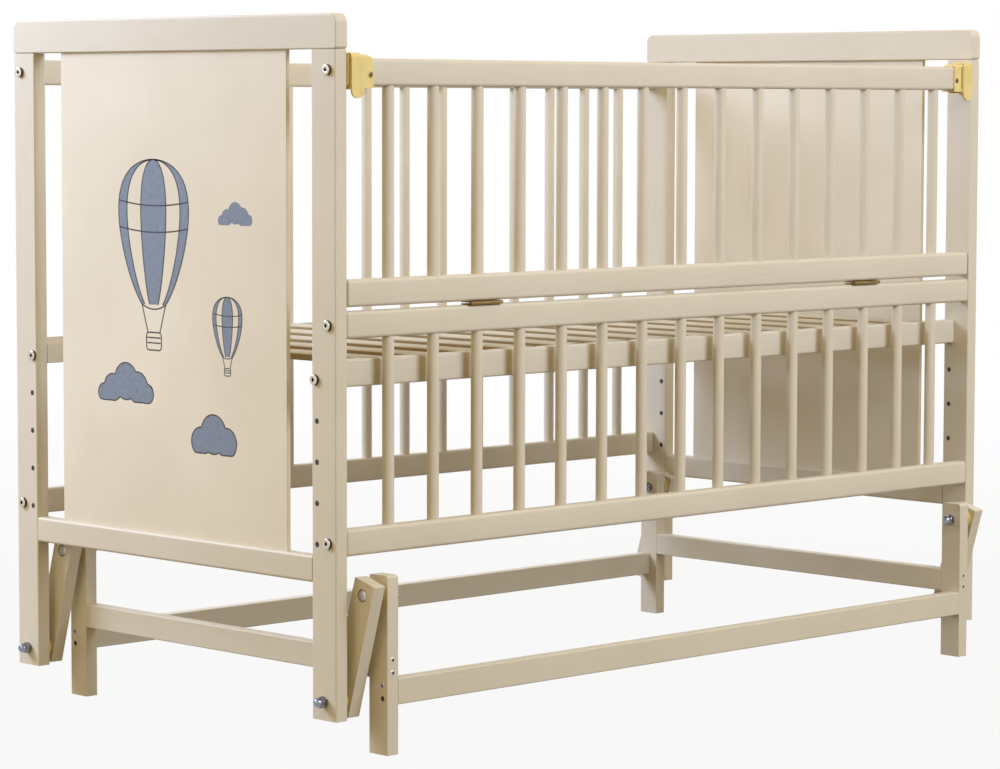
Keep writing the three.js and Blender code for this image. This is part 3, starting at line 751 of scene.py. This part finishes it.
def dome_nut_rows(start, finish):
    """Nut from its seat to the top of its dome, whose radius at a height of h * sin a is r times a power
    of cos a: 1 would be half an ellipse, and a smaller power is fuller."""
    rows = [(turned_hexagon(ACROSS_FLATS * limit), start + NUT_TALL * rise) for limit, rise in NUT_CUT]
    base = start + NUT_TALL
    rows += [(round_edge(DOME_RADIUS - GROOVE), base + rise) for rise in (0, GROOVE)]
    angle = np.linspace(0, DOME_TOP, DOME_ROWS) * np.pi / 2
    radii = DOME_RADIUS * np.cos(angle) ** DOME_FULLNESS
    heights = base + GROOVE + (finish - base - GROOVE) * np.sin(angle)
    return rows + [(round_edge(radius), height) for radius, height in zip(radii, heights)]


def pivot_bolt(corner, level, body):
    """Bolt and dome nut in place of the construction's, pointing away from the head."""
    node = f"{corner}_{level}_bolt"
    outwards = 1 if corner.endswith("right") else -1
    direction = outwards if level == "lower" else -outwards
    place = (face_of(node, 0, -direction), *middle(node)[1:])
    long = extent(node)[0]
    nut_start = long - NUT_TALL - DOME_TALL
    head = fastener(hex_head_rows(nut_start - BOLT_HEAD_TALL), "x", direction, place)
    nut = fastener(dome_nut_rows(nut_start, long), "x", direction, place)
    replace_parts(build(node + "_with_hexagon_head", [head], [steel], body), node)
    build(f"{corner}_{level}_dome_nut", [nut], [chrome], body)


for corner in CORNERS:
    pivot_bolt(corner, "upper", "base")
    pivot_bolt(corner, "lower", "crib")

# %% [markdown]
# ## Screws
#
# The rails of the swing base are screwed through the legs, and each latch housing is screwed to the
# rail of the gate. All that shows of a screw is a low disc with a cross or a hexagon in it. The cross
# can be a change of outline too: on its way in, the circle turns into a plus whose arms are written as
# a function of the angle. The floor of the socket lies just proud of the wood, and it is painted dark
# as painted shade, which makes it look deep.

# %% Screw heads with a cross or a hexagon
SCREW_RADIUS = 3.7 * MM
SCREW_PROUD = 0.5 * MM
SOCKET_FLOOR = 0.05 * MM
CROSS_ARM = 0.55 * MM
CROSS_REACH = 2.5 * MM
SCREW_SOCKET = 2.1 * MM
SCREW_FACE = 0.88
SCREW_TAPER = 0.9


def plus(radius, arm):
    """Outline of a plus: at each angle the nearer of the arm's side and its end, so the distance is
    arm / sin of the angle from the nearest arm's middle, but never more than the radius."""
    angle = 2 * np.pi * np.arange(EDGE_POINTS) / EDGE_POINTS
    from_arm = np.abs((angle + np.pi / 4) % (np.pi / 2) - np.pi / 4)
    side = arm / np.maximum(np.sin(from_arm), 1e-6)
    return np.minimum(radius, side) * np.exp(1j * angle)


def screw_head(socket, axis, direction, place):
    """Low head that faces along plus or minus the axis, with the given outline as its socket."""
    rows = [
        (round_edge(SCREW_RADIUS), -SCREW_PROUD),
        (round_edge(SCREW_RADIUS), SCREW_PROUD / 2),
        (round_edge(SCREW_RADIUS * SCREW_FACE), SCREW_PROUD),
        (socket, SCREW_PROUD),
        (socket * SCREW_TAPER, SOCKET_FLOOR),
    ]
    return fastener(rows, axis, direction, place, [BRIGHT_FACE] * 3 + [SOCKET_SHADE])


hexagon_socket = hexagon(SCREW_SOCKET)
cross_socket = plus(CROSS_REACH, CROSS_ARM)
print("the cross is", round(2 * np.abs(cross_socket).max() / MM, 1), "mm from tip to tip")

# %% [markdown]
# Two screws with a hexagon hold each end of a cross rail, one above the other. One with a cross holds
# each end of a long rail, and below it the rail's dowel shows in its hole as a disc painted dark with
# the hole's shade.

# %% Screws of the swing base
LONG_RAIL_SCREW_RISE = 8 * MM
DOWEL_RISE = 8.5 * MM
DOWEL_PLUG = 4 * MM
for corner in CORNERS:
    depth_name, side_name = corner.split("_")
    leg, cross, rail = corner + "_leg", side_name + "_cross_rail", depth_name + "_long_rail"
    x_side = -1 if side_name == "left" else 1
    y_side = -1 if depth_name == "front" else 1
    face_x, face_y, y = face_of(leg, 0, x_side), face_of(leg, 1, y_side), middle(rail)[1]
    heights = [middle(cross)[2] + step * extent(cross)[2] / 4 for step in (-1, 1)]
    heads = [screw_head(hexagon_socket, "y", y_side, (middle(leg)[0], face_y, z)) for z in heights]
    build(corner + "_cross_rail_screws", heads, [nickel, hole_shade], "base")
    place = (face_x, y, middle(rail)[2] + LONG_RAIL_SCREW_RISE)
    head = screw_head(cross_socket, "x", x_side, place)
    build(corner + "_long_rail_screw", [head], [steel, hole_shade], "base")
    # The dowel's end is painted dark as the shade in its hole.
    depth = abs(face_x) - INSERT_DEPTH
    plug = insert(x_side, depth - DOWEL_PLUG, depth, y, low(rail)[2] + DOWEL_RISE)
    build(corner + "_dowel_end_painted_shade", [plug], [hole_shade], "base")

# %% [markdown]
# A brass screw with a cross holds each latch housing, a little below its middle and near the end that
# faces the middle of the gate.

# %% Screws of the latches
HOUSING_SCREW_INSET = 5 * MM
HOUSING_SCREW_DROP = 4 * MM
for side, x_side in SIDES:
    housing = f"{side}_latch_housing"
    x = face_of(housing, 0, -x_side) + x_side * HOUSING_SCREW_INSET
    place = (x, low(housing)[1], middle(housing)[2] - HOUSING_SCREW_DROP)
    head = screw_head(cross_socket, "y", -1, place)
    build(side + "_latch_screw", [head], [brass, hole_shade], "gate")

# %% [markdown]
# A finger plate in front of a housing leaves a narrow joint along its edge, which lies in shade. The
# joint and its shade are painted as a thin dark strip on the housing, so that it stays dark in any
# light.

# %% Joint with painted shade beside each finger plate
JOINT_SHADE_WIDE = 0.9 * MM
JOINT_SHADE_PROUD = 0.1 * MM
JOINT_SHADE_THICK = 4 * JOINT_SHADE_PROUD
JOINT_SHADE_ENDS = 5 * MM
for side, x_side in SIDES:
    slider, housing = f"{side}_latch_slider", f"{side}_latch_housing"
    x = face_of(slider, 0, -x_side) - x_side * JOINT_SHADE_WIDE / 2
    tall = extent(housing)[2] - 2 * JOINT_SHADE_ENDS
    strip = rounded_bar(tall, JOINT_SHADE_WIDE, JOINT_SHADE_THICK, JOINT_SHADE_PROUD, JOINT_SHADE_PROUD / 2, "z")
    strip += [x, low(housing)[1] + JOINT_SHADE_PROUD, middle(housing)[2]]
    build(side + "_latch_joint_painted_shade", [shell(strip)], [seam_shade], "gate")

# %% [markdown]
# Inside each latch a compression spring pushes the slider out. It is steel wire wound into a helix, with
# a closed turn at either end, so it is a tube carried along that helix. Its inner end stands in the
# housing, and as the slider is drawn back the coil gets shorter by the same travel; here it is wound
# once, at its full length.

# %% Wind the springs of the latches
WIRE = 0.9 * MM
SPRING_TURNS = 5
CLOSED_TURNS = 0.9
ROWS_PER_TURN = 24
WIRE_POINTS = 10


def coil(radius, start, finish):
    """Rows of circles along a helix about x. The centre stands at radius * (cos a, sin a) and moves
    slowly along x in the closed turns. The circle lies across its path, between the outward direction
    and the cross product of the path's direction with it."""
    turn = np.linspace(0, SPRING_TURNS, ROWS_PER_TURN * SPRING_TURNS + 1)
    ends = [0, CLOSED_TURNS, SPRING_TURNS - CLOSED_TURNS, SPRING_TURNS]
    x = np.interp(turn, ends, [start, start + WIRE, finish - WIRE, finish])
    angle = 2 * np.pi * turn
    centre = np.stack([x, radius * np.cos(angle), radius * np.sin(angle)], axis=1)
    outward = np.stack([0 * x, np.cos(angle), np.sin(angle)], axis=1)
    path = np.gradient(centre, axis=0)
    across = np.cross(path / np.linalg.norm(path, axis=1, keepdims=True), outward)
    wire = circle(WIRE / 2, WIRE_POINTS)[:, None]
    return centre[:, None] + wire.real * outward[:, None] + wire.imag * across[:, None]


for side, x_side in SIDES:
    spring, slide = side + "_latch_spring", f"latch_{side}_slide"
    lowest, highest = low(spring), high(spring)
    radius = (highest[1] - lowest[1] - WIRE) / 2
    wound = coil(radius, lowest[0] + WIRE / 2, highest[0] - WIRE / 2)
    wound += middle(spring) * [0, 1, 1]
    piece = build(side + "_latch_coil_spring", [shell(wound)], [steel], "gate")
    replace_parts(piece, spring)
    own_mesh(piece)

# %% [markdown]
# ## A printed picture on the headboard
#
# Ink is a skin about a tenth of a millimetre thick. The picture is drawn in millimetres in the plane of
# the panel, with complex numbers again: the real part runs to the right for someone who faces the
# headboard, and the imaginary part upwards from the floor. A line of the drawing becomes a ribbon whose
# sides stand half its width to the left and right of the path. A filled shape becomes a thin plate.

# %% Ribbons and plates of ink
FILL_PROUD = 0.08 * MM
LINE_PROUD = 0.14 * MM
INK_ROOT = 0.05 * MM
INK_SCALE = 240
panel_face = low("headboard_panel")[0]


def on_panel(drawing, proud):
    """Points of a drawing on the panel's outer face, so far proud of it."""
    points = np.zeros(drawing.shape + (3,))
    points[..., 0] = panel_face - proud
    points[..., 1] = crib_middle_y - drawing.real * MM
    points[..., 2] = drawing.imag * MM
    return points


def ribbon(path, wide):
    """Line along a path. At a point p whose direction is t, its sides are p + i t wide / 2 and
    p - i t wide / 2."""
    direction = np.gradient(path)
    side = 1j * direction / np.abs(direction) * wide / 2
    left, right = path + side, path - side
    front = [on_panel(left, LINE_PROUD), on_panel(right, LINE_PROUD)]
    return shell(np.stack(front + [on_panel(right, -INK_ROOT), on_panel(left, -INK_ROOT)], axis=1))


def plate(outline):
    """Filled shape inside an outline that runs anticlockwise."""
    return shell(np.stack([on_panel(outline, -INK_ROOT), on_panel(outline, FILL_PROUD)]))


def ring(path):
    """Closed path: the outline with its first points once more at the end."""
    return np.concatenate([path, path[:2]])


def ink(name, dark, light):
    """Matt ink that lies a little thinner in some places."""
    material, tree, shader, place = new_material(name)
    dress(tree, shader, stretched_noise(tree, place, EVEN, INK_SCALE, 4), dark, light, 0.5, 0.62)
    fill(tree, shader, Specular_IOR_Level=0.2)
    return material


line_ink = ink("dark_grey_ink", linear(66, 64, 66), linear(82, 79, 80))
slate_ink = ink("slate_blue_ink", linear(122, 131, 147), linear(136, 145, 160))
print("panel face at x", round(panel_face, 4), "inks:", line_ink.name, slate_ink.name)

# %% [markdown]
# The picture shows two hot-air balloons over clouds. A balloon's outline is a circle that is drawn
# longer and thinner towards its mouth. Its seams are the same curve with a smaller share of its width,
# so one function gives them all, and the cloth between two seams is a plate. The basket and ropes are
# measured in shares of the balloon's size.

# %% Balloons
LINE_WIDE = 1.8
THIN_LINE = 1.2
CROWN, MOUTH = 0.04, 0.86 * np.pi
TOP_ARC = 0.1
LEAN = 0.175
SEAM_STEPS = 30
SEAM_SHARES = [-1, -0.76, -0.36, 0.36, 0.76, 1]
HOOP_PLACES = (0.45, 0.62, 1.0)
BASKET_WIDE, BASKET_TALL, BASKET_CORNER, BASKET_DROP = 0.36, 0.27, 0.06, 0.56
ROPE_SPREAD = 0.8
WEAVE_HALF, WEAVE_DROPS = 0.16, (0.08, 0.16)


def seam(share, size):
    """Seam of a balloon of the given size from its crown to its mouth. With the angle a from the top and
    a lean of LEAN * (1 - cos a), it is size * (share * sin a * (1 - lean) + i * cos a * (1 + lean))."""
    angle = np.linspace(CROWN, MOUTH, SEAM_STEPS)
    lean = LEAN * (1 - np.cos(angle))
    return size * (share * np.sin(angle) * (1 - lean) + 1j * np.cos(angle) * (1 + lean))


def hoop(place, size, sag=0.07, steps=24):
    """Seam round a balloon, so far from its top as a share of the way to its mouth. It hangs in the
    middle by sag * size * (1 - share squared)."""
    share = np.linspace(-1, 1, steps)
    edge = seam(1, size)[int(place * (SEAM_STEPS - 1))]
    return edge.real * share + 1j * (edge.imag - sag * size * (1 - share**2))


def balloon(centre, size, wide):
    """Lines and filled shapes of a balloon with its ropes and basket."""
    seams = [seam(share, size) for share in SEAM_SHARES]
    mouth = seams[-1][-1]
    top = size * np.exp(1j * np.linspace(TOP_ARC, -TOP_ARC, 5)) * 1j
    basket = rounded_box(BASKET_WIDE * size, BASKET_TALL * size, BASKET_CORNER * size)
    basket = basket + 1j * (mouth.imag - BASKET_DROP * size)
    rim = basket.imag.max()
    foot = ROPE_SPREAD * BASKET_WIDE / 2 * size
    ropes = [np.linspace(s * mouth.real + 1j * mouth.imag, s * foot + 1j * rim, 6) for s in (-1, 1)]
    across = np.linspace(-WEAVE_HALF, WEAVE_HALF, 6) * size
    weave = [across + 1j * (rim - drop * size) for drop in WEAVE_DROPS]
    hoops = [hoop(place, size) for place in HOOP_PLACES]
    lines = seams + [top, ring(basket)] + ropes + weave + hoops
    cloth = [np.concatenate([seams[i], seams[i + 1][::-1]]) for i in (0, 2, 4)]
    return [ribbon(centre + line, wide) for line in lines], [plate(centre + part) for part in cloth]


print("a balloon has", len(balloon(0j, 1.0, LINE_WIDE)[0]), "lines")

# %% [markdown]
# A cloud is the outline of some overlapping discs. It is found by asking how far a ray from the middle
# goes before it leaves the last of them, and its base is cut flat.


# %% Clouds and the whole print
def cloud(centre, wide, discs, base, rays=96):
    """Outline of overlapping discs, each (x, y, radius) in shares of the width, cut flat at the base.
    A ray at an angle leaves a disc with centre c and radius r at d + sqrt(r r - c c + d d), where d is
    the length of c along the ray."""
    direction = np.exp(1j * np.linspace(0, 2 * np.pi, rays, endpoint=False))
    reach = np.zeros(rays)
    for x, y, radius in discs:
        along = x * direction.real + y * direction.imag
        under_root = radius**2 - x**2 - y**2 + along**2
        exit_at = along + np.sqrt(np.maximum(under_root, 0))
        reach = np.where(under_root > 0, np.maximum(reach, exit_at), reach)
    falling = np.minimum(direction.imag, -1e-6)
    reach = np.where(direction.imag < 0, np.minimum(reach, base / -falling), reach)
    return centre + wide * reach * direction


MIDDLE_DISCS = [(0, 0.06, 0.2), (-0.23, -0.02, 0.15), (0.2, 0.0, 0.17)]
WIDE_CLOUD = MIDDLE_DISCS + [(0.36, -0.06, 0.11), (-0.38, -0.08, 0.1)]
ROUND_CLOUD = [(0, 0.08, 0.26), (-0.26, -0.03, 0.19), (0.27, -0.02, 0.2)]
clouds = [
    cloud(-92 + 430j, 120, WIDE_CLOUD, 0.16),
    cloud(84 + 372j, 96, ROUND_CLOUD, 0.18),
    cloud(128 + 655j, 70, WIDE_CLOUD, 0.16),
]
large_lines, large_cloth = balloon(-34 + 640j, 84, LINE_WIDE)
small_lines, small_cloth = balloon(112 + 520j, 34, THIN_LINE)
cloud_lines = [ribbon(ring(outline), LINE_WIDE) for outline in clouds[:2]]
build("headboard_print_lines", large_lines + small_lines + cloud_lines, [line_ink], "crib")
build("headboard_print_cloth", large_cloth + small_cloth, [slate_ink], "crib")
build("headboard_print_clouds", [plate(outline) for outline in clouds], [slate_ink], "crib")

# %% [markdown]
# ## Studio floor, light and camera
#
# The photo shows the crib on pure white. The floor keeps a soft shadow so that the base stands on
# something, and for the camera it glows a little, which blends it into the white world behind.

# %% Floor and world
FLOOR_HALF = 40.0
FLOOR_DROP = 0.2 * MM
PAPER = (0.17, 0.13, 0.08, 1)
WHITE = (1, 1, 1, 1)
NEAR, FAR = 1.2, 5.0
NEAR_GLOW = 0.93
AMBIENT = 0.64
WARM = (1.0, 0.79, 0.31, 1)


def combine(tree, operation, first, second):
    """One number from two, such as their product."""
    made = add(tree, "ShaderNodeMath", {"operation": operation})
    tree.links.new(first, made.inputs[0])
    tree.links.new(second, made.inputs[1])
    return made.outputs[0]


def looked_at(tree):
    """1 for what the camera or a reflection sees, and 0 for the light that falls on things."""
    seen = add(tree, "ShaderNodeLightPath").outputs
    return combine(tree, "MAXIMUM", seen["Is Camera Ray"], seen["Is Glossy Ray"])


def studio_floor():
    """Large pale square whose light is its own where the camera or a reflection sees it, and which
    throws back a little warm light elsewhere. Near the crib a small share of the paper shows through,
    and with it the shadow."""
    mesh = bpy.data.meshes.new("floor")
    corners = [(-1, -1, 0), (1, -1, 0), (1, 1, 0), (-1, 1, 0)]
    mesh.from_pydata(np.array(corners) * FLOOR_HALF - [0, 0, FLOOR_DROP], [], [[0, 1, 2, 3]])
    floor = put_in_scene("floor", mesh)
    material = bpy.data.materials.new("floor_paper")
    material.use_nodes = True
    tree = material.node_tree
    tree.nodes.clear()
    length = add(tree, "ShaderNodeVectorMath", {"operation": "LENGTH"})
    tree.links.new(add(tree, "ShaderNodeTexCoord").outputs["Object"], length.inputs[0])
    limits = {"From_Min": NEAR, "From_Max": FAR, "To_Min": NEAR_GLOW}
    far = add(tree, "ShaderNodeMapRange", Value=length.outputs["Value"], **limits)
    share = combine(tree, "MULTIPLY", looked_at(tree), far.outputs["Result"])
    mix = add(tree, "ShaderNodeMixShader", Fac=share)
    tree.links.new(add(tree, "ShaderNodeBsdfDiffuse", Color=PAPER).outputs[0], mix.inputs[1])
    tree.links.new(add(tree, "ShaderNodeEmission", Color=WHITE, Strength=1.0).outputs[0], mix.inputs[2])
    add(tree, "ShaderNodeOutputMaterial", Surface=mix.outputs[0])
    mesh.materials.append(material)


def studio_world():
    """White for the camera and for reflections, dimmer and warmer as a light on the object."""
    world = bpy.data.worlds.new("studio")
    bpy.context.scene.world = world
    world.use_nodes = True
    tree = world.node_tree
    tree.nodes.clear()
    sharp = looked_at(tree)
    strength = add(tree, "ShaderNodeMapRange", Value=sharp, To_Min=AMBIENT, To_Max=1.0)
    colour = mixed_colour(tree, sharp, WARM, WHITE)
    glow = add(tree, "ShaderNodeBackground", Color=colour, Strength=strength.outputs["Result"])
    add(tree, "ShaderNodeOutputWorld", Surface=glow.outputs[0])


studio_floor()
studio_world()
print("floor", 2 * FLOOR_HALF, "m wide, world", bpy.context.scene.world.name)

# %% [markdown]
# The photo's light is soft and comes from all round, which five square area lamps do. Most of them are
# bluish, because the paper and the world add warm light.


# %% Lamps
def softbox(name, place, target, size, watts, tint, mirrored=True):
    """Square area lamp at a place, facing the target, with its colour as shares of red, green, blue. One
    that stands opposite the camera isn't mirrored, or it would glare on every flat top."""
    lamp = bpy.data.lights.new(name, "AREA")
    lamp.shape = "SQUARE"
    lamp.size = size
    lamp.energy = watts
    lamp.color = tint
    holder = put_in_scene(name, lamp)
    holder.location = place
    holder.visible_glossy = mirrored
    facing = np.array(target) - np.array(place)
    level = math.hypot(facing[0], facing[1])
    holder.rotation_euler = (math.atan2(level, -facing[2]), 0, math.atan2(-facing[0], facing[1]))


softbox("headboard_softbox", (-1.85, 1.8, 1.77), (-0.6, 0, 0.6), 1.15, 88, (0.57, 0.69, 1.0))
softbox("left_softbox", (-3.0, 0.5, 0.9), (-0.6, 0, 0.4), 1.4, 9, (1.0, 0.95, 0.85))
softbox("right_softbox", (3.9, 0.2, 1.3), (0.6, 0, 0.5), 1.6, 62, (0.68, 0.79, 1.0), mirrored=False)
softbox("front_softbox", (0.15, -2.9, 2.1), (0.05, -0.3, 0.5), 1.4, 81, (0.68, 0.78, 1.0))
softbox("back_softbox", (3.2, 3.4, 1.8), (0.3, 0, 0.5), 1.8, 80, (0.66, 0.78, 1.0), mirrored=False)

# %% [markdown]
# The camera stands off the front left corner, a little below the top of the headboard, and looks down
# by a few degrees. Its place and turn were worked out from the corners of the crib in the photo.

# %% Camera
EYE = (-3.4297, -3.4528, 0.7938)
TURN_TO_RIGHT = 44.387
LOOK_DOWN = 4.562
ROLL = 0.123
FOCAL_LENGTH = 125.96

lens = bpy.data.cameras.new("camera")
lens.sensor_width = 36
lens.lens = FOCAL_LENGTH
lens.clip_end = 200
camera = put_in_scene("camera", lens)
camera.location = EYE
aimed = Euler((math.radians(90 - LOOK_DOWN), 0, math.radians(-TURN_TO_RIGHT))).to_matrix()
camera.rotation_euler = (aimed @ Matrix.Rotation(math.radians(ROLL), 3, "Z")).to_euler()
bpy.context.scene.camera = camera
bpy.context.scene.view_settings.view_transform = "Standard"
print("camera at", EYE)

# %% [markdown]

# %% The end
print("scene ready")
